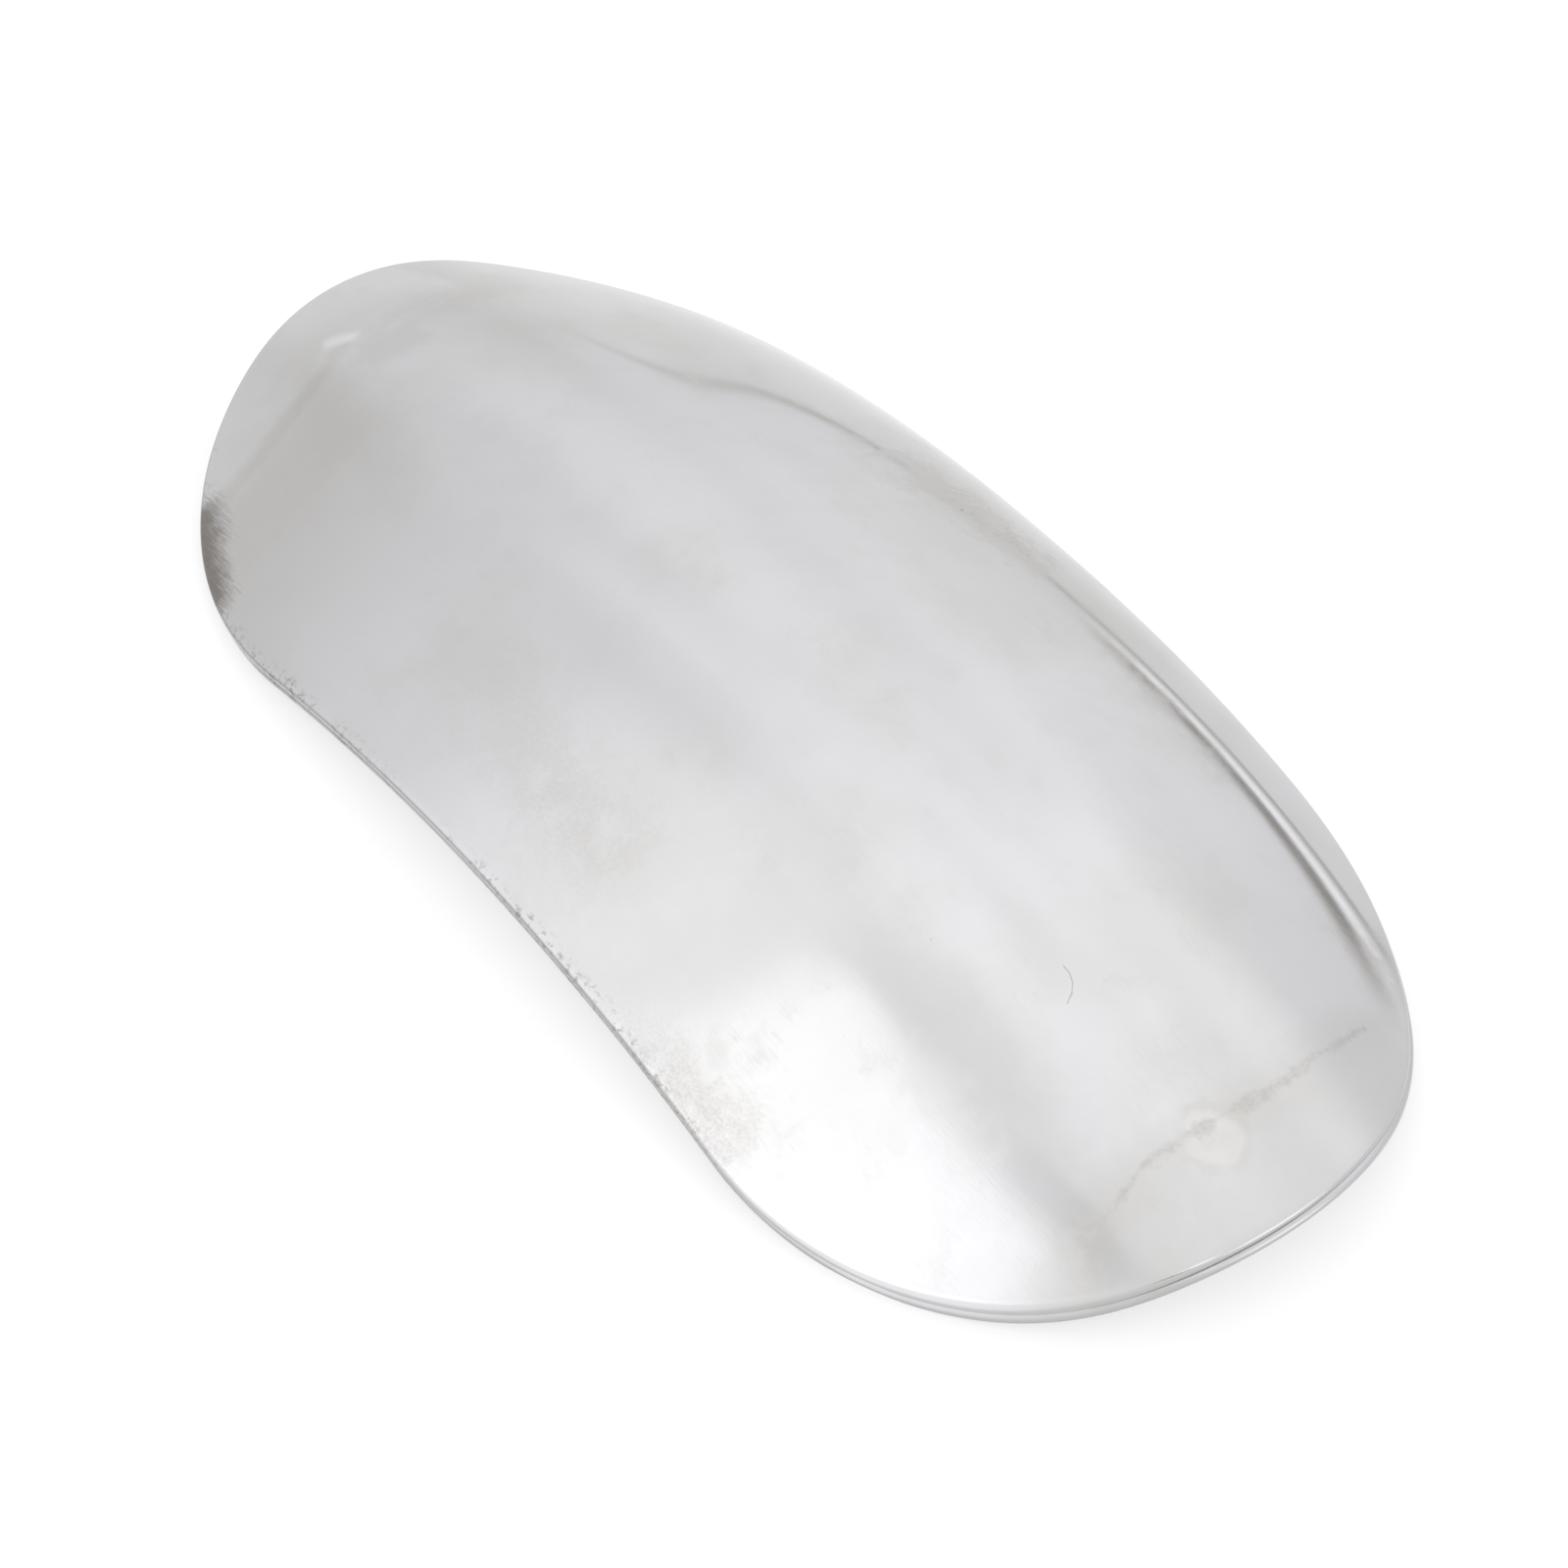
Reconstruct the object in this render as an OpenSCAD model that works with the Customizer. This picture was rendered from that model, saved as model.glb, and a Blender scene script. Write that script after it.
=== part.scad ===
// A pair of shallow kidney dishes, each one pressed sheet, nested and lying hollow side down.
// Millimetres, +Z up. The origin is on the table, under the middle of the pair.
// +X runs along the dishes' length, and -Y is the side with the shallow notch.

/* [Outline] */
// Length of a dish over its two round ends
dish_len = 250; // [246:0.5:254]
// Width of a dish from its bowed side to the two lobes beside the notch
dish_w = 120.8; // [120:0.2:122]
// Turn of the bowed side on each side of its middle, in degrees
bow_turn = 5; // [4.8:0.1:5.4]
// Radius of the shoulders between the bowed side and the ends
shoulder_r = 86; // [84:0.5:88]
// Turn of each shoulder, in degrees
shoulder_turn = 33; // [32:0.5:34]
// Radius of the ends
end_r = 54.6; // [54:0.1:55]
// Turn of each end, in degrees
end_turn = 102.5; // [102:0.5:104]
// Turn of each lobe beside the notch, in degrees
lobe_turn = 42; // [41.5:0.5:44]

/* [Arch] */
// Radius of the arch along the dish, measured at the crest
arch_r = 420; // [380:5:460]
// Radius of the rounded crest across the dish
crest_r = 53; // [50:0.5:56]
// Slope of the straight flanks on both sides of the crest, in degrees
flank_slope = 27.5; // [26:0.5:29]
// Place of the crest across the dish, measured from its mid-width
crest_y = -2.8; // [-4:0.1:-2]

/* [Sheet] */
// Thickness of each sheet
sheet = 0.85; // [0.7:0.05:0.9]
// Height up to which the rim's lowest points are dressed flat
dressed = 0.2; // [0.1:0.05:0.3]

/* [Nesting] */
// Rise of the upper dish over the lower one
nest_rise = 1.8; // [1.6:0.1:3]
// Distance between the two dishes' middles, along their length
nest_slip_x = 0.6; // [0:0.1:0.8]
// Distance between the two dishes' middles, across their length
nest_slip_y = 0.4; // [0:0.1:0.5]

/* [Hidden] */
steel = [0.78, 0.78, 0.8];
$fn = 360;

// Direction at a turn, counted clockwise from +Y
function toward(turn) = [sin(turn), cos(turn)];
function mirrored(p) = [-p[0], p[1]];

// Turns at which one arc of the outline passes into the next, all tangent
shoulder_end = bow_turn + shoulder_turn;
end_end = shoulder_end + end_turn;
lobe_end = end_end + lobe_turn;
notch_turn = lobe_end - 180;

// Radii that follow from the length, the width and the closed outline
bow_r = shoulder_r
    + (dish_len / 2 - end_r - (shoulder_r - end_r) * sin(shoulder_end)) / sin(bow_turn);
lobe_r = (dish_w - bow_r + (bow_r - shoulder_r) * cos(bow_turn)
    + (shoulder_r - end_r) * cos(shoulder_end) + end_r * cos(end_end)) / (1 + cos(end_end));

// Centres of the arcs on the +X half
bow_c = [0, dish_w / 2 - bow_r];
shoulder_c = bow_c + (bow_r - shoulder_r) * toward(bow_turn);
end_c = shoulder_c + (shoulder_r - end_r) * toward(shoulder_end);
lobe_c = end_c + (end_r - lobe_r) * toward(end_end);
notch_r = lobe_c[0] / sin(notch_turn) - lobe_r;
notch_c = lobe_c + (lobe_r + notch_r) * toward(lobe_end);

// Points of one arc, from its start up to but not including its end
function arc(c, r, from, turn, step) =
    let (count = ceil(abs(turn) / step))
    [for (k = [0:count - 1]) c + r * toward(from + turn * k / count)];

// Steps along the wide arcs and along the tight ones, in degrees
wide_step = 1;
tight_step = 2.5;

// Rim from the middle of the bowed side, clockwise round +X, to just before the notch's middle
right_rim = concat(
    arc(bow_c, bow_r, 0, bow_turn, wide_step),
    arc(shoulder_c, shoulder_r, bow_turn, shoulder_turn, tight_step),
    arc(end_c, end_r, shoulder_end, end_turn, tight_step),
    arc(lobe_c, lobe_r, end_end, lobe_turn, tight_step),
    arc(notch_c, notch_r, notch_turn, -notch_turn, wide_step)
);
rim_count = len(right_rim);

// Distance of the sheet's underside from the arch's axis, at a distance s across from the crest line
function under_reach(s) =
    let (r = crest_r - sheet)
    arch_r - crest_r
    + (abs(s) < r * sin(flank_slope) ? sqrt(r * r - s * s)
        : r / cos(flank_slope) - abs(s) * tan(flank_slope));

// Fall of the underside below the top of the crest, at a point of the plan
function fall(p) = arch_r - sqrt(pow(under_reach(p[1] - crest_y), 2) - p[0] * p[0]);

// Height of the crest's top when the lowest points of the rim are dressed down to the table
crest_z = max([for (p = right_rim) fall(p)]) - dressed;
spare = 10;
flank_len = 2 * dish_w;
// Depth at which the flanks start below a true tangent, so that crest and flank cross cleanly
tangent_relief = 0.01;

// Plan of a dish, counterclockwise from just beside the notch's middle
module kidney() {
    polygon(concat(
        [for (k = [rim_count - 1:-1:0]) right_rim[k]],
        [for (k = [1:rim_count - 1]) mirrored(right_rim[k])],
        [notch_c + [0, notch_r]]
    ));
}

// Everything under the sheet's face at a depth below the skin, as a section across the arch.
// The arch's axis is the section's own Y.
module under_face(depth) {
    foot_start = (crest_r - depth - tangent_relief) * [cos(flank_slope), sin(flank_slope)];
    foot = foot_start + flank_len * [-sin(flank_slope), cos(flank_slope)];
    translate([arch_r - crest_r, crest_y]) {
        circle(crest_r - depth);
        polygon([foot_start, foot, [foot[0], -foot[1]], [foot_start[0], -foot_start[1]]]);
    }
}

// Section across the sheet
module section() {
    difference() {
        under_face(0);
        under_face(sheet);
    }
}

// One dish, standing on its rim
module dish() {
    intersection() {
        linear_extrude(crest_z + spare) kidney();
        translate([0, 0, crest_z - arch_r])
            rotate([-90, 0, 0])
                rotate_extrude() section();
    }
}

module lower_dish() {
    color(steel)
        translate([nest_slip_x / 2, nest_slip_y / 2, 0])
            dish();
}

module upper_dish() {
    color(steel)
        translate([-nest_slip_x / 2, -nest_slip_y / 2, nest_rise])
            dish();
}

lower_dish();
upper_dish();
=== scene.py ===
"""A pair of polished steel kidney dishes, nested and lying hollow side down. Metres, +Z up."""

import math

import bpy
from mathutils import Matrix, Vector, kdtree, noise


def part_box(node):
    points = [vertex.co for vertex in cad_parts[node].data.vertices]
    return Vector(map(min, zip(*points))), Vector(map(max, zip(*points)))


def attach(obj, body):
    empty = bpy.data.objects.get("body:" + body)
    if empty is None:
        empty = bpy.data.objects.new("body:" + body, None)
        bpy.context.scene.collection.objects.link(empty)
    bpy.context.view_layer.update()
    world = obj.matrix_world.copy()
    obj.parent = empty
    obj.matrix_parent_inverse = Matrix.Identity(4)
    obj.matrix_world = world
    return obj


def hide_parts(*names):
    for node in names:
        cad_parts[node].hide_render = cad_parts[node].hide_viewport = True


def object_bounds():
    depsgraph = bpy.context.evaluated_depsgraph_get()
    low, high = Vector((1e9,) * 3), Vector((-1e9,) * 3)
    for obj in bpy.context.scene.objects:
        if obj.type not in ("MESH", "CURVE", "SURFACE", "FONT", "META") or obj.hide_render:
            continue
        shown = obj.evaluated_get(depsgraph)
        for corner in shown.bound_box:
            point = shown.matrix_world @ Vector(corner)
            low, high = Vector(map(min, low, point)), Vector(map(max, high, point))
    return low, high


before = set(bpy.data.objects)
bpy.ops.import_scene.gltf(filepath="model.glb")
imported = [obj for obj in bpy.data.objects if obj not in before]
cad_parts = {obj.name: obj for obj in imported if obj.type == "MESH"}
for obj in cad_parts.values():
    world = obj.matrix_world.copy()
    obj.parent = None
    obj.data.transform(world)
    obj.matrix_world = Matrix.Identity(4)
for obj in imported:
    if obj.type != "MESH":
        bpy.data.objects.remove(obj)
cad_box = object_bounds()

MM = 0.001

# Outline of a dish: turns of its tangent arcs in degrees, radii in metres, as the CAD part has them.
BOW_TURN = 5.0
SHOULDER_TURN = 33.0
SHOULDER_R = 86 * MM
END_TURN = 102.5
END_R = 54.6 * MM
LOBE_TURN = 42.0

# Arch of a dish, and its sheet.
ARCH_R = 420 * MM
CREST_R = 53 * MM
FLANK_SLOPE = math.radians(27.5)
CREST_Y = -2.8 * MM
SHEET = 0.85 * MM

# The pressed sheet is softer than its plain arch: the join of crest and flanks is spread over
# a few steps, and the flank on the bowed side is fuller between the crest and the rim.
SOFT_STEPS = ((-8 * MM, 1 / 12), (-4 * MM, 3 / 12), (0, 4 / 12), (4 * MM, 3 / 12), (8 * MM, 1 / 12))
FAR_FULLNESS = 8.2 * MM
FAR_TWIST = -3.4 * MM
FAR_SHOULDER = 5.6 * MM
SHOULDER_TWIST = -1.0 * MM
# Powers of the way across with which the fuller flank and its shoulder grow, and of the ways along and
# across with which both fade towards the ends and the rim.
FLANK_POWER = 2
SHOULDER_POWER = 5
FADE_POWER = 3

# Rounded edge of the sheet: how far in the top rounding reaches all round and at its broadest, where
# it's broadest and over what distance, how far down the broadest one reaches, and the lower rounding's size.
ROUND_IN = 0.35 * MM
ROUND_BROAD = 1.2 * MM
BROAD_PLACE = Vector((96, -50)) * MM
BROAD_REACH = 40 * MM
ROUND_DOWN = 0.5 * MM
ROUND_LOWER = 0.15 * MM

# Mesh: quads along and across a face, and rings of the rounded edge.
FACE_ALONG = 200
FACE_ACROSS = 96
ROUND_RINGS = 8
EDGE_RINGS = 3
LOWER_RINGS = 3


def toward(turn):
    """Direction in the plan at a turn in degrees, clockwise from +Y."""
    return Vector((math.sin(math.radians(turn)), math.cos(math.radians(turn))))


class Dish:
    """The shape of one dish, at the place of a CAD node."""

    def __init__(self, node):
        low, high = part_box(node)
        self.middle = (low + high) / 2
        self.rest = low.z
        self.crest = high.z
        self.length = high.x - low.x
        self.width = high.y - low.y
        self.arcs = self.right_half()
        self.total = 2 * sum(a["length"] for a in self.arcs)

    def right_half(self):
        """The outline's arcs from the middle of the bowed side round the +X end to the notch's middle."""
        shoulder_end = BOW_TURN + SHOULDER_TURN
        end_end = shoulder_end + END_TURN
        lobe_end = end_end + LOBE_TURN
        notch_turn = lobe_end - 180
        reach = self.length / 2 - END_R - (SHOULDER_R - END_R) * toward(shoulder_end).x
        bow_r = SHOULDER_R + reach / toward(BOW_TURN).x
        across = self.width - bow_r + (bow_r - SHOULDER_R) * toward(BOW_TURN).y
        across += (SHOULDER_R - END_R) * toward(shoulder_end).y + END_R * toward(end_end).y
        lobe_r = across / (1 + toward(end_end).y)
        bow_c = Vector((0, self.width / 2 - bow_r))
        shoulder_c = bow_c + (bow_r - SHOULDER_R) * toward(BOW_TURN)
        end_c = shoulder_c + (SHOULDER_R - END_R) * toward(shoulder_end)
        lobe_c = end_c + (END_R - lobe_r) * toward(end_end)
        notch_r = lobe_c.x / toward(notch_turn).x - lobe_r
        notch_c = lobe_c + (lobe_r + notch_r) * toward(lobe_end)

        def arc(centre, radius, start, turn, outward=1):
            length = abs(math.radians(turn)) * radius
            return dict(c=centre, r=radius, start=start, turn=turn, out=outward, length=length)

        return [
            arc(bow_c, bow_r, 0, BOW_TURN),
            arc(shoulder_c, SHOULDER_R, BOW_TURN, SHOULDER_TURN),
            arc(end_c, END_R, shoulder_end, END_TURN),
            arc(lobe_c, lobe_r, end_end, LOBE_TURN),
            arc(notch_c, notch_r, notch_turn, -notch_turn, -1),
        ]

    def rim(self, share):
        """Rim point and outward direction at a share of the way round, clockwise from the bowed side."""
        share %= 1.0
        left = share > 0.5
        walk = (1 - share if left else share) * self.total
        for a in self.arcs:
            if walk <= a["length"] or a is self.arcs[-1]:
                break
            walk -= a["length"]
        direction = toward(a["start"] + a["turn"] * min(1.0, walk / a["length"]))
        point = a["c"] + a["r"] * direction
        out = direction * a["out"]
        if left:
            point.x = -point.x
            out.x = -out.x
        return point, out

    def arch(self, x, s, depth):
        """Height over the crest's top, s across from the crest line, at a depth below the skin."""
        r = CREST_R - depth
        reach = ARCH_R - CREST_R
        for step, share in SOFT_STEPS:
            t = abs(s + step)
            round_part = math.sqrt(max(0, r * r - t * t))
            flat_part = r / math.cos(FLANK_SLOPE) - t * math.tan(FLANK_SLOPE)
            reach += share * (round_part if t < r * math.sin(FLANK_SLOPE) else flat_part)
        return math.sqrt(reach * reach - x * x) - ARCH_R

    def fullness(self, x, s):
        """Extra height of the fuller flank, which fades to nothing at the crest and at the rim."""
        if s < 0:
            return 0
        along = 2 * x / self.length
        across = s / (self.width / 2 - CREST_Y)
        inside = max(0, 1 - abs(along) ** FADE_POWER - across**FADE_POWER)
        flank = (FAR_FULLNESS + FAR_TWIST * along) * across**FLANK_POWER
        shoulder = (FAR_SHOULDER + SHOULDER_TWIST * along) * across**SHOULDER_POWER
        return (flank + shoulder) * inside

    def place(self, x, y, depth):
        """Point of the dish in the frame, never lower than the dish stands."""
        s = y - CREST_Y
        rise = self.arch(x, s, depth) + self.fullness(x, s) + ripple(x, y)
        return Vector((self.middle.x + x, self.middle.y + y, max(self.rest, self.crest + rise)))


# Hand-finished surface: wavelength and height of each layer of ripples in the polished face.
RIPPLES = [(55 * MM, 0.06 * MM), (24 * MM, 0.018 * MM), (11 * MM, 0.004 * MM)]
# Step between the layers through the noise, so that they differ.
RIPPLE_STEP = 7.3
# A soft dent near the -X end: its place, radius and depth.
DENT = (-108.6 * MM, -14 * MM, 5 * MM, 0.12 * MM)


def ripple(x, y):
    """Small rise of the face over the true arch."""
    rise = 0
    for layer, (wave, height) in enumerate(RIPPLES):
        rise += height * noise.noise(Vector((x / wave, y / wave, RIPPLE_STEP * layer)))
    dent_x, dent_y, radius, depth = DENT
    away = ((x - dent_x) ** 2 + (y - dent_y) ** 2) / radius**2
    return rise - depth * math.exp(-away)


# Shares of the way round at which the four sides of a face's grid meet.
CORNERS = (0.16, 0.34, 0.66, 0.84)


def rounding(point):
    """Width of the top rounding at a rim point of a dish."""
    away = (point - BROAD_PLACE).length / BROAD_REACH
    return ROUND_IN + (ROUND_BROAD - ROUND_IN) * math.exp(-away * away)


def lower_rounding(point):
    """Width of the lower rounding, which is the same at every rim point."""
    return ROUND_LOWER


def face_grid(dish, inset):
    """Plan points of a grid that fills the outline less an inset, as rows across of points along,
    and its border's shares."""
    def side(start, end, count):
        return [start + (end - start) * k / count for k in range(count + 1)]

    far = side(CORNERS[3] - 1, CORNERS[0], FACE_ALONG)
    near = side(CORNERS[2], CORNERS[1], FACE_ALONG)
    left = side(CORNERS[2], CORNERS[3], FACE_ACROSS)
    right = side(CORNERS[1], CORNERS[0], FACE_ACROSS)

    def at(share):
        point, out = dish.rim(share)
        return point - out * inset(point)

    far_p, near_p = [at(s) for s in far], [at(s) for s in near]
    left_p, right_p = [at(s) for s in left], [at(s) for s in right]
    rows = []
    for j in range(FACE_ACROSS + 1):
        v = j / FACE_ACROSS
        row = []
        for i in range(FACE_ALONG + 1):
            u = i / FACE_ALONG
            sides = near_p[i] * (1 - v) + far_p[i] * v + left_p[j] * (1 - u) + right_p[j] * u
            ends = near_p[0] * (1 - u) * (1 - v) + near_p[-1] * u * (1 - v)
            ends += far_p[0] * (1 - u) * v + far_p[-1] * u * v
            row.append(sides - ends)
        rows.append(row)
    border = [(0, i, near[i]) for i in range(FACE_ALONG)]
    border += [(j, FACE_ALONG, right[j]) for j in range(FACE_ACROSS)]
    border += [(FACE_ACROSS, i, far[i]) for i in range(FACE_ALONG, 0, -1)]
    border += [(j, 0, left[j]) for j in range(FACE_ACROSS, 0, -1)]
    return rows, border


def edge_profile(width):
    """Steps over the sheet's edge, from the skin to the underside, where the top rounding has a width:
    distance in from the rim, share of the depth."""
    steps = []
    down = ROUND_DOWN * math.sqrt(width / ROUND_BROAD)
    for k in range(1, ROUND_RINGS + 1):
        turn = math.pi / 2 * k / ROUND_RINGS
        steps.append((width * (1 - math.sin(turn)), down * (1 - math.cos(turn)) / SHEET))
    wall = 1 - ROUND_LOWER / SHEET
    start = steps[-1][1]
    for k in range(1, EDGE_RINGS + 1):
        steps.append((0, start + (wall - start) * k / EDGE_RINGS))
    for k in range(1, LOWER_RINGS):
        turn = math.pi / 2 * k / LOWER_RINGS
        steps.append((ROUND_LOWER * (1 - math.cos(turn)), wall + (1 - wall) * math.sin(turn)))
    return steps


def sheet_piece(name, node):
    """One pressed sheet: skin, rounded edge and underside, as one closed mesh."""
    dish = Dish(node)
    points, faces = [], []

    def face(inset, depth, skin):
        rows, border = face_grid(dish, inset)
        first = len(points)
        for row in rows:
            points.extend(dish.place(p.x, p.y, depth) for p in row)
        wide = FACE_ALONG + 1
        for j in range(FACE_ACROSS):
            for i in range(FACE_ALONG):
                quad = [first + j * wide + i, first + j * wide + i + 1]
                quad += [first + (j + 1) * wide + i + 1, first + (j + 1) * wide + i]
                faces.append(quad if skin else quad[::-1])
        return [first + j * wide + i for j, i, _ in border], [share for _, _, share in border]

    ring, shares = face(rounding, 0, True)
    under, _ = face(lower_rounding, SHEET, False)

    def bridge(upper, lower):
        count = len(upper)
        for k in range(count):
            faces.append([upper[k], lower[k], lower[(k + 1) % count], upper[(k + 1) % count]])

    rims = [dish.rim(share) for share in shares]
    profiles = [edge_profile(rounding(point)) for point, _ in rims]
    for step in range(len(profiles[0])):
        new = []
        for (point, out), profile in zip(rims, profiles):
            inset, share = profile[step]
            p = point - out * inset
            top = dish.place(p.x, p.y, 0)
            bottom = dish.place(p.x, p.y, SHEET)
            new.append(len(points))
            points.append(top.lerp(bottom, share))
        bridge(ring, new)
        ring = new
    bridge(ring, under)

    mesh = bpy.data.meshes.new(name)
    mesh.from_pydata(points, [], faces)
    mesh.shade_smooth()
    store_rim_distance(mesh, [dish.middle.xy + point for point, _ in rims])
    piece = bpy.data.objects.new(name, mesh)
    bpy.context.scene.collection.objects.link(piece)
    return piece


def store_rim_distance(mesh, rim_points):
    """Stores at each vertex its distance in the plan from the rim, for the wear along it."""
    tree = kdtree.KDTree(len(rim_points))
    for index, point in enumerate(rim_points):
        tree.insert((point.x, point.y, 0), index)
    tree.balance()
    values = [tree.find((v.co.x, v.co.y, 0))[2] for v in mesh.vertices]
    mesh.attributes.new("rim_distance", "FLOAT", "POINT").data.foreach_set("value", values)


# Sockets of a colour mix, which share their names with those of other kinds.
MIX_FROM = 6
MIX_TO = 7
MIX_COLOUR = 2


class Nodes:
    """Short forms for a node tree."""

    def __init__(self, tree):
        self.tree = tree

    def add(self, kind, **settings):
        node = self.tree.nodes.new(kind)
        for key, value in settings.items():
            setattr(node, key, value)
        return node

    def link(self, source, target):
        self.tree.links.new(source, target)

    def feed(self, socket, value):
        """Gives a socket another node's output, or a plain value."""
        if isinstance(value, bpy.types.NodeSocket):
            self.link(value, socket)
        else:
            socket.default_value = value

    def math(self, operation, a, b=0.0, c=0.0, clamp=False):
        node = self.add("ShaderNodeMath", operation=operation, use_clamp=clamp)
        for socket, value in zip(node.inputs, (a, b, c)):
            self.feed(socket, value)
        return node.outputs[0]

    def vector(self, operation, a, b=(0, 0, 0)):
        node = self.add("ShaderNodeVectorMath", operation=operation)
        self.feed(node.inputs[0], a)
        self.feed(node.inputs[1], b)
        return node.outputs["Value" if operation in ("DOT_PRODUCT", "DISTANCE") else "Vector"]

    def noise(self, coords, scale, detail, rough, distort):
        node = self.add("ShaderNodeTexNoise")
        self.feed(node.inputs["Vector"], coords)
        node.inputs["Scale"].default_value = scale
        node.inputs["Detail"].default_value = detail
        node.inputs["Roughness"].default_value = rough
        node.inputs["Distortion"].default_value = distort
        return node.outputs["Fac"]

    def ramp(self, value, low, high, to_low=0.0, to_high=1.0):
        """Smooth change from one share to another as a value goes from low to high, level outside."""
        node = self.add("ShaderNodeMapRange", interpolation_type="SMOOTHSTEP")
        for socket, number in zip(node.inputs, (value, low, high, to_low, to_high)):
            self.feed(socket, number)
        return node.outputs[0]

    def mix(self, share, a, b):
        node = self.add("ShaderNodeMix", data_type="RGBA")
        self.feed(node.inputs["Factor"], share)
        self.feed(node.inputs[MIX_FROM], a)
        self.feed(node.inputs[MIX_TO], b)
        return node.outputs[MIX_COLOUR]


# Marks on the upper dish, as lines and a place in the plan, in millimetres.
STAIN_LINE = [(108.6, -28.8), (108.2, -23.5), (106.5, -17.5), (107.0, -10.0), (108.5, 4.5), (104.5, 29.0)]
STAIN_BLOB = (109.5, -6.5)
SCRATCH_LINE = [(76.8, -7.6), (78.2, -7.6), (79.6, -8.2), (80.8, -9.3), (81.6, -10.8)]
END_TARNISH = [(-98.5, -49.5), (-90.0, -55.0), (-82.5, -58.3)]
END_SMUDGE = [(-118.0, -14.0), (-95.0, -8.0), (-74.0, 2.0)]
END_CREASE = [(-98.4, -46.0), (-100.1, -37.1), (-102.2, -27.7), (-104.5, -19.3), (-107.0, -14.5)]
END_CLOUD = [(-101.0, -10.0), (-102.4, -0.8), (-106.4, 20.0)]
END_PAINTED_GLINT = [(-110.2, -15.2), (-109.2, -13.6), (-108.2, -11.8)]
NOTCH_PATCH = [(-22.0, -41.0), (-5.0, -44.0), (12.0, -44.0)]
LOBE_PATCH = [(36.0, -60.0), (46.0, -57.5), (60.0, -57.5)]
BOW_PATCH = [(-24.0, 44.5), (-10.0, 46.5), (3.0, 48.5)]

# How ragged a noise makes the edges of the stain's vein and halo, in millimetres.
STAIN_RAGGED = {"uneven": 5.5}

# Marks that follow a line, from the first laid to the last. In millimetres: how ragged each noise makes
# its edge, and the distances from the line at which it starts and is at its full. Then its tint, how
# strongly that shows, and how much rougher and higher it leaves the steel.
LINE_MARKS = {
    "film": dict(line=END_TARNISH, ragged={"cloud": 30}, start=26, full=2,
                 tint="tan", show=0.14, rougher=0, higher=0),
    "tarnish": dict(line=END_TARNISH, ragged={"lines": 7, "smear": 6}, start=5.6, full=0.3,
                    tint="brown", show=0.85, rougher=0, higher=0),
    "halo": dict(line=STAIN_LINE, ragged=STAIN_RAGGED, start=7, full=1,
                 tint="grime_and_shade", show=0.24, rougher=0, higher=0),
    "smudge": dict(line=END_SMUDGE, ragged={"smear": 60}, start=14, full=2,
                   tint="tan", show=0.07, rougher=0.05, higher=0),
    # Painted shade: a dark line along a crease at the -X end.
    "crease_shade": dict(line=END_CREASE, ragged={"smear": 4}, start=2.8, full=0.3,
                   tint="grime_and_shade", show=0.30, rougher=0, higher=0),
    "cloud": dict(line=END_CLOUD, ragged={"smear": 22}, start=7, full=1,
                  tint="grime_and_shade", show=0.22, rougher=0, higher=0),
    # A painted highlight: a small streak at the -X end where the steel is tinted brighter, standing in for a
    # glint.
    "painted_glint": dict(line=END_PAINTED_GLINT, ragged={"smear": 5}, start=2.2, full=0,
                  tint="bright", show=0.34, rougher=0, higher=0),
    "scratch": dict(line=SCRATCH_LINE, ragged={"fine": 0.3}, start=0.16, full=0.05,
                    tint="dark", show=0.45, rougher=0, higher=-2.0),
}

# Dull patches: the line, the reach in millimetres and the strength of each, and what they have in common.
DULL_PATCHES = [(NOTCH_PATCH, 11, 1.5), (LOBE_PATCH, 10, 1.4), (BOW_PATCH, 8, 2.4)]
PATCH_RAGGED = {"smear": 45}
PATCH_FULL = 1
PATCH_SHOW = 0.32
PATCH_ROUGHER = 0.20

# The stain: a tan vein along its line, and a milky film with a tan ring round its blob. Distances in
# millimetres, those of the blob from its middle.
VEIN_START = 1.25
VEIN_SHOW = 0.85
VEIN_ROUGHER = 0.20
BLOB_RAGGED = {"uneven": 6}
FILM_START = 7.5
FILM_FULL = 1.5
FILM_SHOW = 0.46
FILM_ROUGHER = 0.25
FILM_HIGHER = 0.8
RING_OUTSIDE = 6.75
RING_MIDDLE = 5.0
RING_INSIDE = 4.0
RING_SHOW = 0.30

# The painted shade past the stain, at the +X end: where along X it starts and is at its full, in
# millimetres.
END_SHADE = (105, 113)
END_SHADE_RAGGED = {"uneven": 9}
END_SHADE_SHOW = 0.16

# Noises of the surface: scale, detail, roughness and distortion of each. The polishing lines are one more,
# turned by some degrees and drawn together across the lines.
NOISES = {
    "cloud": (22.0, 5.0, 0.60, 0.0),
    "smear": (85.0, 6.0, 0.68, 0.25),
    "uneven": (150.0, 5.0, 0.70, 0.0),
    "fine": (900.0, 4.0, 0.70, 0.0),
    "grit": (1900.0, 3.0, 0.60, 0.0),
}
LINES_NOISE = (260.0, 5.0, 0.65, 0.0)
LINES_TURN = 38
LINES_SQUEEZE = 14.0

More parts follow.
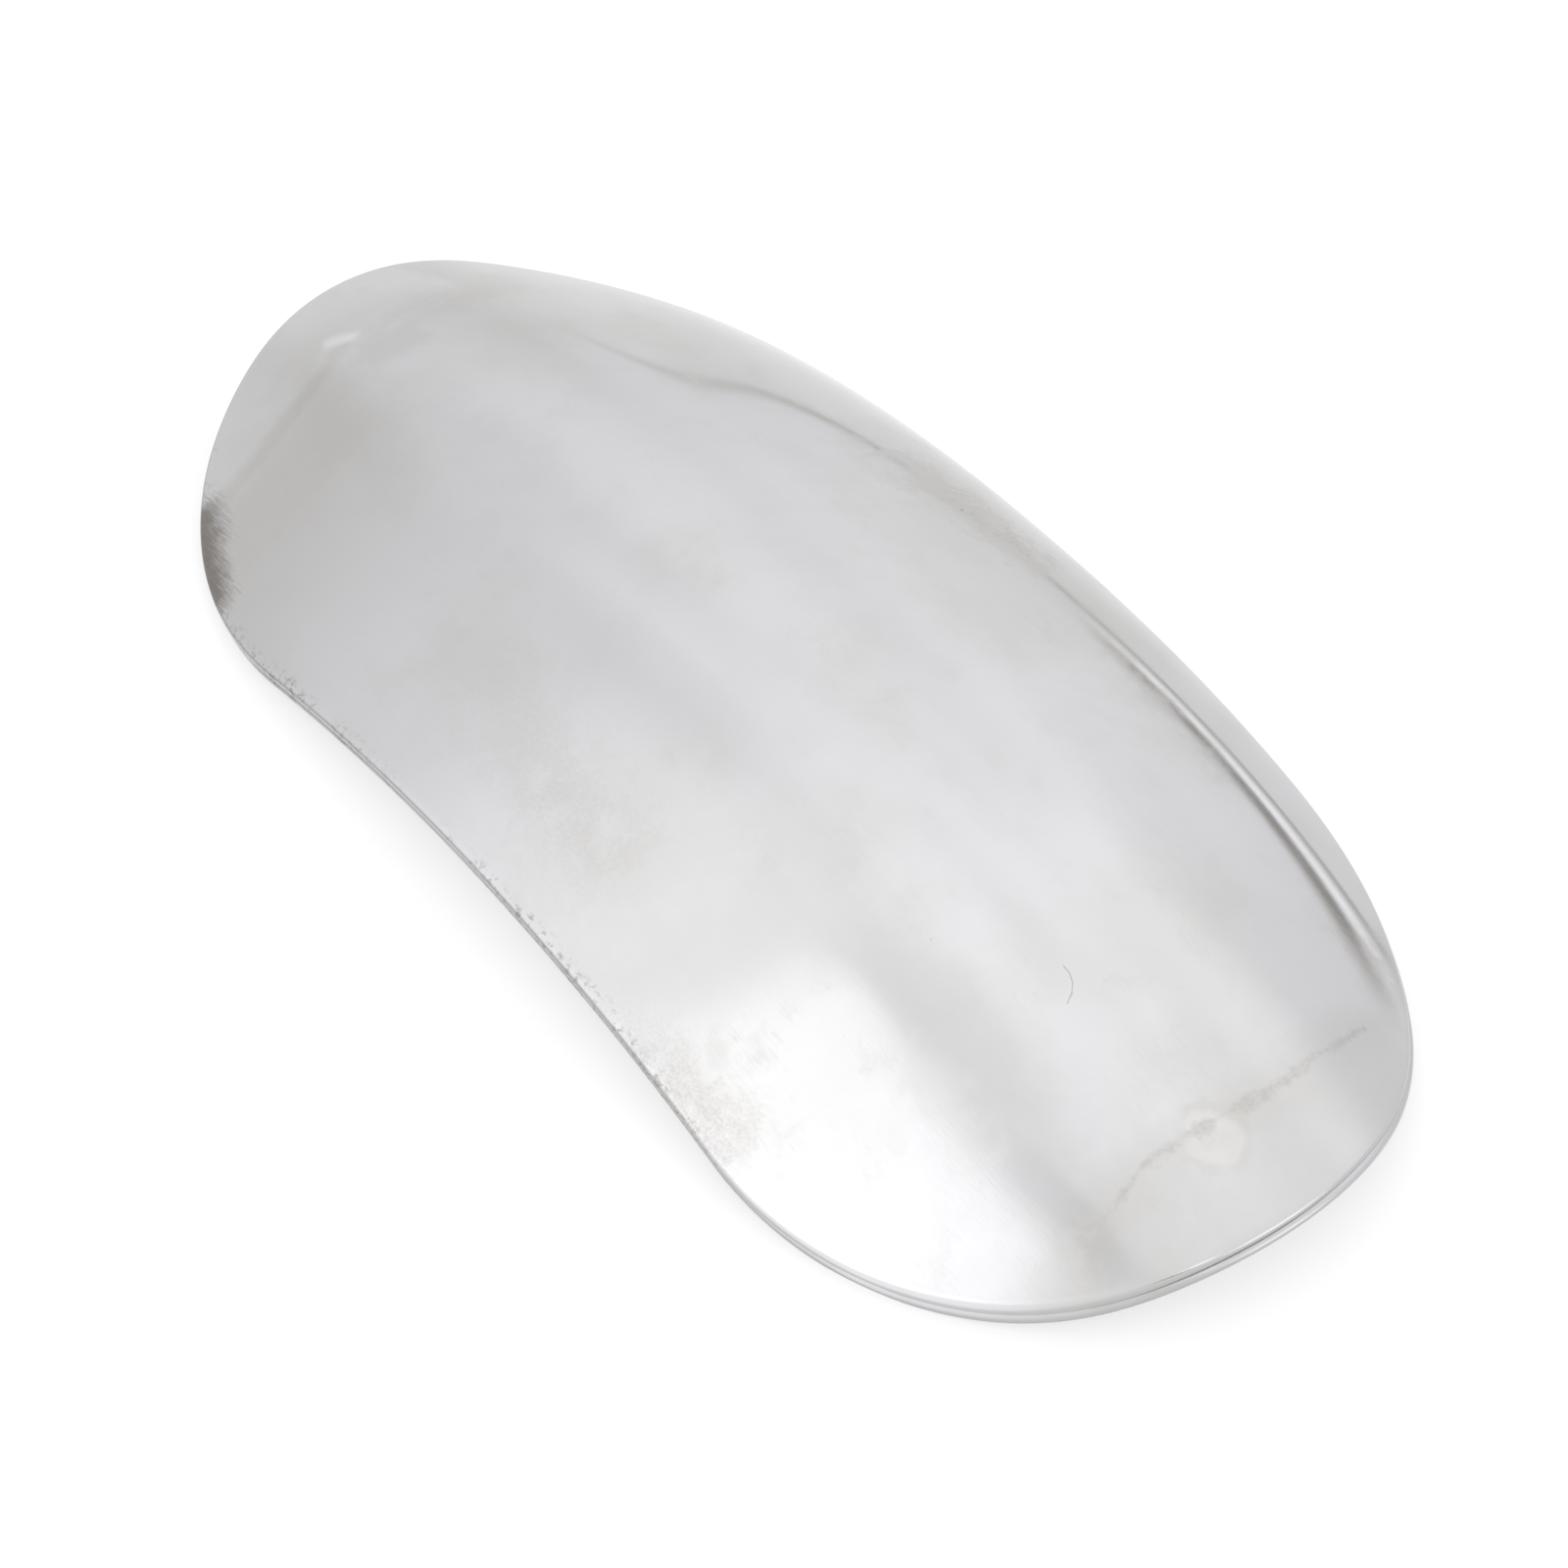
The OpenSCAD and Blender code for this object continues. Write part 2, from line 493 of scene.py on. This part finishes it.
# Where each kind of wear is: the values of a noise over which it sets in and, where they aren't 0 and 1,
# what it rises from and to. Several noises are multiplied.
WEAR = {
    "haze": {"cloud": (0.38, 0.68)},
    "smudge": {"smear": (0.50, 0.70), "cloud": (0.40, 0.60)},
    "rubbed": {"lines": (0.52, 0.72), "smear": (0.42, 0.60)},
    "dirt": {"fine": (0.51, 0.62), "cloud": (0.38, 0.52)},
    "grain": {"grit": (0.36, 0.64, 0.55, 1.0), "smear": (0.30, 0.62, 0.15, 1.0)},
    "vein": {"smear": (0.30, 0.52), "fine": (0.36, 0.60, 0.5, 1.0)},
    "film": {"uneven": (0.34, 0.60, 0.3, 1.0)},
    "ring": {"cloud": (0.44, 0.56)},
}
# How strongly the wear all over shows, and how much rougher it leaves the steel, which for the haze is a
# share of the steel's own roughness. Then how much of the relief the polishing lines and the fine noise are.
HAZE_ROUGHENING = 0.9
SMUDGE_SHOW = 0.10
SMUDGE_ROUGHER = 0.10
RUBBED_SHOW = 0.10
RUBBED_ROUGHER = 0.10
RELIEF_SHARES = (0.5, 0.5)

# Dirt along the rim on the notch side: distances from the rim, and the ranges of Y and X, in millimetres.
RIM_RAGGED = {"smear": 5}
RIM_START = 2.4
RIM_FULL = 0.2
RIM_ROUGHER = 0.08
DIRT_Y = (-32, -48)
DIRT_X = (72, 50)
DIRT_SHOW = 0.75

# Painted shade on the arris of the rounded edge, where its normal turns well away from up: the upward parts
# of the normal between which it lies, from its start to its full on either side, and its distance from the
# rim and range of X in millimetres.
ARRIS_LOW = (0.15, 0.35)
ARRIS_HIGH = (0.86, 0.78)
ARRIS_RIM = (0.45, 0.30)
ARRIS_X = (72, 40)
ARRIS_SHADE_SHOW = 0.52

# Pits: the scale of their cells, the pit's size as a part of a cell, and which cells have one.
PIT_SCALE = 95.0
PIT_SIZE = (0.030, 0.018)
PIT_CHOICE = (0.80, 0.84)
PIT_SHOW = 0.8
PIT_HIGHER = -2.0

# Tints, as shares of the steel's grey in red, green and blue.
TINTS = {
    "clean": (1.0, 1.0, 1.015),
    "dull": (0.93, 0.925, 0.91),
    # grime_and_shade tints real grime and dull patches, and also the painted shade along the crease and past
    # the stain.
    "grime_and_shade": (0.74, 0.71, 0.65),
    "dark": (0.40, 0.38, 0.35),
    "tan": (0.76, 0.735, 0.69),
    "brown": (0.30, 0.27, 0.24),
    "milky": (1.16, 1.14, 1.09),
    # bright is the tint of the painted highlight, the glint at the -X end.
    "bright": (1.42, 1.41, 1.40),
}
# Bump of the relief: its strength, and the height that a relief of 1 stands for.
BUMP_STRENGTH = 0.10
BUMP_HEIGHT = 0.03 * MM


def in_plan(point):
    """A place in the plan, from millimetres."""
    return Vector((point[0] * MM, point[1] * MM, 0))


def product(n, *shares):
    """Shares multiplied together."""
    result = shares[0]
    for share in shares[1:]:
        result = n.math("MULTIPLY", result, share)
    return result


class Textures:
    """Coordinates, distances and noises that the marks on a steel are made from."""

    def __init__(self, n):
        self.n = n
        coords = n.add("ShaderNodeTexCoord").outputs["Object"]
        self.coords = coords
        self.plan = n.vector("MULTIPLY", coords, (1, 1, 0))
        split = n.add("ShaderNodeSeparateXYZ")
        n.link(coords, split.inputs[0])
        self.x, self.y = split.outputs[0], split.outputs[1]
        self.rim = n.add("ShaderNodeAttribute", attribute_name="rim_distance").outputs["Fac"]
        self.noises = {name: n.noise(coords, *settings) for name, settings in NOISES.items()}
        turned = n.add("ShaderNodeMapping")
        turned.inputs["Rotation"].default_value = (0, 0, math.radians(LINES_TURN))
        turned.inputs["Scale"].default_value = (1.0, LINES_SQUEEZE, 1.0)
        n.link(coords, turned.inputs["Vector"])
        self.noises["lines"] = n.noise(turned.outputs[0], *LINES_NOISE)

    def wear(self, kind):
        """Where a kind of wear is, from 0 to 1."""
        shares = [self.n.ramp(self.noises[name], *span) for name, span in WEAR[kind].items()]
        return product(self.n, *shares)

    def ragged(self, away, amounts):
        """A distance made uneven by noises, each by an amount in millimetres."""
        for name, amount in amounts.items():
            offset = self.n.math("SUBTRACT", self.noises[name], 0.5)
            away = self.n.math("MULTIPLY_ADD", offset, amount * MM, away)
        return away

    def within(self, value, start, full):
        """Share of a mark where it starts at one value in millimetres and is at its full at another."""
        return self.n.ramp(value, start * MM, full * MM)

    def from_place(self, place):
        """Distance in the plan from a place."""
        return self.n.vector("DISTANCE", self.plan, in_plan(place))

    def from_line(self, points):
        """Distance in the plan from a line through the points."""
        n = self.n
        nearest = None
        for a, b in zip(points, points[1:]):
            start, run = in_plan(a), in_plan(b) - in_plan(a)
            off = n.vector("SUBTRACT", self.plan, start)
            share = n.math("DIVIDE", n.vector("DOT_PRODUCT", off, run), run.length_squared, clamp=True)
            foot = n.add("ShaderNodeVectorMath", operation="SCALE")
            foot.inputs[0].default_value = run
            n.link(share, foot.inputs["Scale"])
            away = n.vector("DISTANCE", off, foot.outputs[0])
            nearest = away if nearest is None else n.math("MINIMUM", nearest, away)
        return nearest


class Surface:
    """The colour, roughness and relief of a steel, built up mark by mark."""

    def __init__(self, n, grey, rough, relief):
        self.n = n
        self.grey = grey
        self.colour = self.tint("clean")
        self.roughness = rough
        self.relief = relief

    def tint(self, name):
        """A tint's colour on this steel."""
        return tuple(self.grey * share for share in TINTS[name]) + (1,)

    def lay(self, share, tint, show=1.0, rougher=0.0, higher=0.0):
        """Lays a mark over the surface: where it is, its tint and how strongly that shows, and how much
        rougher and higher it leaves the steel."""
        self.colour = self.n.mix(product(self.n, share, show), self.colour, self.tint(tint))
        if rougher:
            self.roughen(share, rougher)
        if higher:
            self.relief = self.n.math("MULTIPLY_ADD", share, higher, self.relief)

    def roughen(self, share, amount):
        """Makes the steel rougher by an amount where the share is 1."""
        self.roughness = self.n.math("MULTIPLY_ADD", share, amount, self.roughness)

    def shader(self):
        """The metal's shader, with everything that was laid on."""
        n = self.n
        bump = n.add("ShaderNodeBump")
        bump.inputs["Strength"].default_value = BUMP_STRENGTH
        bump.inputs["Distance"].default_value = BUMP_HEIGHT
        n.link(self.relief, bump.inputs["Height"])
        shader = n.add("ShaderNodeBsdfPrincipled")
        shader.inputs["Metallic"].default_value = 1.0
        n.link(self.colour, shader.inputs["Base Color"])
        n.link(self.roughness, shader.inputs["Roughness"])
        n.link(bump.outputs[0], shader.inputs["Normal"])
        return shader


def general_wear(textures, surface, rough):
    """Blurred haze, smudges and polishing lines all over a dish."""
    surface.lay(textures.wear("haze"), "dull", rougher=rough * HAZE_ROUGHENING)
    surface.lay(textures.wear("smudge"), "grime_and_shade", SMUDGE_SHOW, SMUDGE_ROUGHER)
    surface.lay(textures.wear("rubbed"), "grime_and_shade", RUBBED_SHOW, RUBBED_ROUGHER)


def rim_wear_and_arris_shade(n, textures, surface):
    """A rougher rim with dirt along the notch side, and painted shade on the arris of its rounded edge."""
    near_rim = textures.within(textures.ragged(textures.rim, RIM_RAGGED), RIM_START, RIM_FULL)
    surface.roughen(near_rim, RIM_ROUGHER)
    notch_side = product(n, textures.within(textures.y, *DIRT_Y), textures.within(textures.x, *DIRT_X))
    surface.lay(product(n, near_rim, notch_side, textures.wear("dirt")), "dark", DIRT_SHOW)

    # Painted shade: the rounded edge is tinted dark where its normal is tilted well away from up, near the
    # rim.
    normal = n.add("ShaderNodeSeparateXYZ")
    n.link(n.add("ShaderNodeNewGeometry").outputs["Normal"], normal.inputs[0])
    upward = normal.outputs[2]
    turned = product(n, n.ramp(upward, *ARRIS_LOW), n.ramp(upward, *ARRIS_HIGH))
    place = product(n, textures.within(textures.rim, *ARRIS_RIM), textures.within(textures.x, *ARRIS_X))
    surface.lay(product(n, turned, place), "dark", ARRIS_SHADE_SHOW)


def end_shade(textures, surface):
    """Painted shade past the stain, at the +X end: the steel tinted darker there."""
    shade = textures.within(textures.ragged(textures.x, END_SHADE_RAGGED), *END_SHADE)
    surface.lay(shade, "grime_and_shade", END_SHADE_SHOW)


def line_marks(textures, surface):
    """The marks that follow a line: tarnish, film, halo, smudge, cloud and scratch, and painted shade along
    a crease and a painted glint.
    """
    for mark in LINE_MARKS.values():
        away = textures.ragged(textures.from_line(mark["line"]), mark["ragged"])
        share = textures.within(away, mark["start"], mark["full"])
        surface.lay(share, mark["tint"], mark["show"], mark["rougher"], mark["higher"])


def dull_patches(n, textures, surface):
    """Patches worn dull, with a fine grain."""
    grain = textures.wear("grain")
    worn = 0.0
    for line, reach, strength in DULL_PATCHES:
        area = textures.within(textures.ragged(textures.from_line(line), PATCH_RAGGED), reach, PATCH_FULL)
        worn = n.math("MAXIMUM", product(n, area, grain, strength), worn)
    surface.lay(worn, "grime_and_shade", PATCH_SHOW, PATCH_ROUGHER)


def stain(n, textures, surface):
    """The dried stain: a film with a ring round it, and a vein across the dish."""
    blob = textures.ragged(textures.from_place(STAIN_BLOB), BLOB_RAGGED)
    film = product(n, textures.within(blob, FILM_START, FILM_FULL), textures.wear("film"))
    surface.lay(film, "milky", FILM_SHOW, FILM_ROUGHER, FILM_HIGHER)
    outside = textures.within(blob, RING_OUTSIDE, RING_MIDDLE)
    inside = textures.within(blob, RING_INSIDE, RING_MIDDLE)
    surface.lay(product(n, outside, inside, textures.wear("ring")), "tan", RING_SHOW)
    line = textures.ragged(textures.from_line(STAIN_LINE), STAIN_RAGGED)
    vein = product(n, textures.within(line, VEIN_START, 0), textures.wear("vein"))
    surface.lay(vein, "tan", VEIN_SHOW, VEIN_ROUGHER)


def pits(n, textures, surface):
    """Small dark pits, in a few of the cells of a pattern."""
    cells = n.add("ShaderNodeTexVoronoi")
    cells.inputs["Scale"].default_value = PIT_SCALE
    n.link(textures.coords, cells.inputs["Vector"])
    chosen = n.add("ShaderNodeSeparateColor")
    n.link(cells.outputs["Color"], chosen.inputs[0])
    pit = product(n, n.ramp(cells.outputs["Distance"], *PIT_SIZE), n.ramp(chosen.outputs[0], *PIT_CHOICE))
    surface.lay(pit, "dark", PIT_SHOW, higher=PIT_HIGHER)


def polished_steel(name, grey, rough, marked):
    """Hand-polished stainless steel. The marked dish has its stain, scratch and dull patches too."""
    material = bpy.data.materials.new(name)
    material.use_nodes = True
    material.node_tree.nodes.clear()
    n = Nodes(material.node_tree)
    textures = Textures(n)
    lines_share, fine_share = RELIEF_SHARES
    fine_relief = product(n, textures.noises["fine"], fine_share)
    relief = n.math("MULTIPLY_ADD", textures.noises["lines"], lines_share, fine_relief)
    surface = Surface(n, grey, rough, relief)
    general_wear(textures, surface, rough)
    rim_wear_and_arris_shade(n, textures, surface)
    if marked:
        end_shade(textures, surface)
        line_marks(textures, surface)
        dull_patches(n, textures, surface)
        stain(n, textures, surface)
    pits(n, textures, surface)
    output = n.add("ShaderNodeOutputMaterial")
    n.link(surface.shader().outputs[0], output.inputs["Surface"])
    return material


def direction(azimuth, elevation):
    """Unit vector at an azimuth, 0 being -Y and 90 +X, and an elevation, both in degrees."""
    a, e = math.radians(azimuth), math.radians(elevation)
    return Vector((math.sin(a) * math.cos(e), -math.cos(a) * math.cos(e), math.sin(e)))


# Studio round the table: soft round panels as azimuth, elevation, inner and outer radius in degrees, and
# how much brighter or darker than the dome each is.
PANELS = {
    "wash under the softbox": (350, 24, 18, 46, 0.40),
    "far ceiling": (215, 76, 3, 26, 0.15),
    "dim far wall": (252, 41, 27, 45, -0.15),
    "lit far wall": (213, 36, 1, 38, 0.20),
    "wash on the ceiling": (252, 68, 5, 50, 0.08),
    "ceiling on the left": (280, 66, 4, 24, 0.11),
    "shade under it": (291, 54, 2, 13, -0.07),
    "spot low on the right wall": (182, 32, 4, 16, 0.07),
    "spot low on the far wall": (252, 16, 2, 20, 0.10),
    "shade low on the left": (285, 20, 3, 18, -0.09),
    "light under the left edge of the table": (275, -24, 44.5, 46.5, 0.12),
    "window on the right": (110, 30, 14, 30, 0.60),
    "lamp over the camera": (60, 58, 4, 10, 0.80),
    "dark camera": (52.5, 47, 3, 7, -0.90),
    "spot overhead": (30, 76, 3, 14, 0.08),
    "spot left of the softbox": (318, 50, 4, 15, 0.09),
    "dark bracket on the softbox": (6, 61, 2, 6, -0.12),
    "spot on the left of the ceiling": (296, 67, 3, 12, 0.05),
    "wash on the right wall": (176, 46, 8, 26, 0.07),
}
# Panels cut off level at the top: the same, then the elevations where they end and are at their full.
LEVEL_TOPPED = {
    "softbox": (350, 46, 14.5, 18, 0.54, 60.5, 58.8),
    "dim band over it": (355, 46, 19, 26, -0.07, 67.0, 63.0),
}
# Level strips round the room: the heights of a ray where they start, are at their full, fade and end, the
# change in brightness, and the disc that they show in.
STRIPS = {
    "dark skirting": ((0.002, 0.010, 0.016, 0.045), -0.42, (198, 2, 14, 36)),
    "dark rail at the back": ((0.083, 0.095, 0.113, 0.150), -0.65, (196, 5, 6, 11)),
    "bright gap under the rail": ((0.045, 0.055, 0.074, 0.084), 0.35, (196, 5, 6, 11)),
}
# The dome's brightness at the horizon and how much it gains overhead, and its tints where it's dim and
# where it's bright.
DOME_LEVEL = 1.055
DOME_RISE = 0.26
DIM_LEVEL = 0.7
BRIGHT_LEVEL = 1.15
DIM_TINT = (1.03, 0.995, 0.95, 1)
BRIGHT_TINT = (0.995, 0.995, 1.012, 1)


def disc(n, ray, azimuth, elevation, inner, outer):
    """How far a ray points into a soft disc, from 1 within the inner radius to 0 past the outer one."""
    near, far = math.cos(math.radians(inner)), math.cos(math.radians(outer))
    return n.ramp(n.vector("DOT_PRODUCT", ray, direction(azimuth, elevation)), far, near)


def dome_level(n, ray):
    """Brightness of the dome in a ray's direction, with its panels and strips."""
    split = n.add("ShaderNodeSeparateXYZ")
    n.link(ray, split.inputs[0])
    rise = split.outputs[2]
    level = n.math("MULTIPLY_ADD", rise, DOME_RISE, DOME_LEVEL)
    for *place, amount in PANELS.values():
        level = n.math("MULTIPLY_ADD", disc(n, ray, *place), amount, level)
    for *place, amount, end, full in LEVEL_TOPPED.values():
        lid = n.ramp(rise, math.sin(math.radians(end)), math.sin(math.radians(full)))
        level = n.math("MULTIPLY_ADD", product(n, disc(n, ray, *place), lid), amount, level)
    for (start, full, fade, end), amount, place in STRIPS.values():
        strip = product(n, n.ramp(rise, start, full), n.ramp(rise, end, fade), disc(n, ray, *place))
        level = n.math("MULTIPLY_ADD", strip, amount, level)
    return level


def studio():
    """The room's light: an even pale dome with softer and brighter panels in it, seen as plain white."""
    world = bpy.data.worlds.new("studio")
    bpy.context.scene.world = world
    world.use_nodes = True
    world.node_tree.nodes.clear()
    n = Nodes(world.node_tree)
    level = dome_level(n, n.add("ShaderNodeTexCoord").outputs["Generated"])
    dome = n.add("ShaderNodeBackground")
    tint = n.mix(n.ramp(level, DIM_LEVEL, BRIGHT_LEVEL), DIM_TINT, BRIGHT_TINT)
    n.link(tint, dome.inputs["Color"])
    n.link(level, dome.inputs["Strength"])
    white = n.add("ShaderNodeBackground")
    white.inputs["Color"].default_value = (1, 1, 1, 1)
    pick = n.add("ShaderNodeMixShader")
    n.link(n.add("ShaderNodeLightPath").outputs["Is Camera Ray"], pick.inputs[0])
    n.link(dome.outputs[0], pick.inputs[1])
    n.link(white.outputs[0], pick.inputs[2])
    n.link(pick.outputs[0], n.add("ShaderNodeOutputWorld").inputs["Surface"])


# Floor: its side and how far it lies under the dishes, in metres, then its grey, roughness and glow.
FLOOR_SIZE = 8.0
FLOOR_GAP = 0.05 * MM
FLOOR_GREY = 0.30
FLOOR_ROUGHNESS = 0.9
FLOOR_GLOW = 0.64


def floor():
    """Plain white table under the dishes, which glows a little as a light table does."""
    half = FLOOR_SIZE / 2
    z = cad_box[0].z - FLOOR_GAP
    corners = [(-half, -half, z), (half, -half, z), (half, half, z), (-half, half, z)]
    mesh = bpy.data.meshes.new("floor")
    mesh.from_pydata(corners, [], [(0, 1, 2, 3)])
    piece = bpy.data.objects.new("floor", mesh)
    bpy.context.scene.collection.objects.link(piece)
    material = bpy.data.materials.new("table_white")
    material.use_nodes = True
    shader = material.node_tree.nodes["Principled BSDF"]
    shader.inputs["Base Color"].default_value = (FLOOR_GREY, FLOOR_GREY, FLOOR_GREY, 1)
    shader.inputs["Roughness"].default_value = FLOOR_ROUGHNESS
    shader.inputs["Emission Color"].default_value = (1, 1, 1, 1)
    shader.inputs["Emission Strength"].default_value = FLOOR_GLOW
    shader.inputs["Specular IOR Level"].default_value = 0.0
    mesh.materials.append(material)


# Key light: its direction in degrees, distance and side in metres, and power in watts.
KEY_AZIMUTH = 50
KEY_ELEVATION = 60
KEY_DISTANCE = 1.5
KEY_SIZE = 0.5
KEY_POWER = 1.5


def put(data, name, target, away, distance):
    """Places a lamp or a camera at a distance from a target, in a direction, and turns it to the target."""
    holder = bpy.data.objects.new(name, data)
    bpy.context.scene.collection.objects.link(holder)
    holder.location = target + away * distance
    holder.rotation_mode = "QUATERNION"
    holder.rotation_quaternion = (-away).to_track_quat("-Z", "Y")
    return holder


def key_light():
    """A square softbox, turned to the dishes, which lights the table but isn't mirrored in the steel."""
    lamp = bpy.data.lights.new("key", "AREA")
    lamp.shape = "SQUARE"
    lamp.size = KEY_SIZE
    lamp.energy = KEY_POWER
    holder = put(lamp, "key", Vector((0, 0, 0)), direction(KEY_AZIMUTH, KEY_ELEVATION), KEY_DISTANCE)
    holder.visible_glossy = False


# Camera: its direction from the target in degrees, distance and target in metres, lens and sensor in
# millimetres, and the nearest distance that it shows in metres.
CAMERA_AZIMUTH = 52.5
CAMERA_ELEVATION = 49.19
CAMERA_DISTANCE = 598.4 * MM
CAMERA_TARGET = Vector((6.54, -5.25, 0.1)) * MM
CAMERA_LENS = 85
CAMERA_SENSOR = 36
CAMERA_CLIP = 0.01


def camera():
    """The camera, above the dishes and to one side."""
    data = bpy.data.cameras.new("camera")
    data.lens = CAMERA_LENS
    data.sensor_width = CAMERA_SENSOR
    data.clip_start = CAMERA_CLIP
    away = direction(CAMERA_AZIMUTH, CAMERA_ELEVATION)
    bpy.context.scene.camera = put(data, "camera", CAMERA_TARGET, away, CAMERA_DISTANCE)


# Each dish's steel: its grey, its roughness, and whether it has the marks.
STEELS = {"upper": (0.545, 0.05, True), "lower": (0.50, 0.12, False)}


def dishes():
    """The two dishes, each in place of its CAD node."""
    for body, (grey, rough, marked) in STEELS.items():
        piece = sheet_piece(body + "_sheet", body + "_dish")
        piece.data.materials.append(polished_steel(body + "_steel", grey, rough, marked))
        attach(piece, body)
        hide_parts(body + "_dish")


camera()
floor()
studio()
key_light()
dishes()
bpy.context.scene.view_settings.view_transform = "Standard"
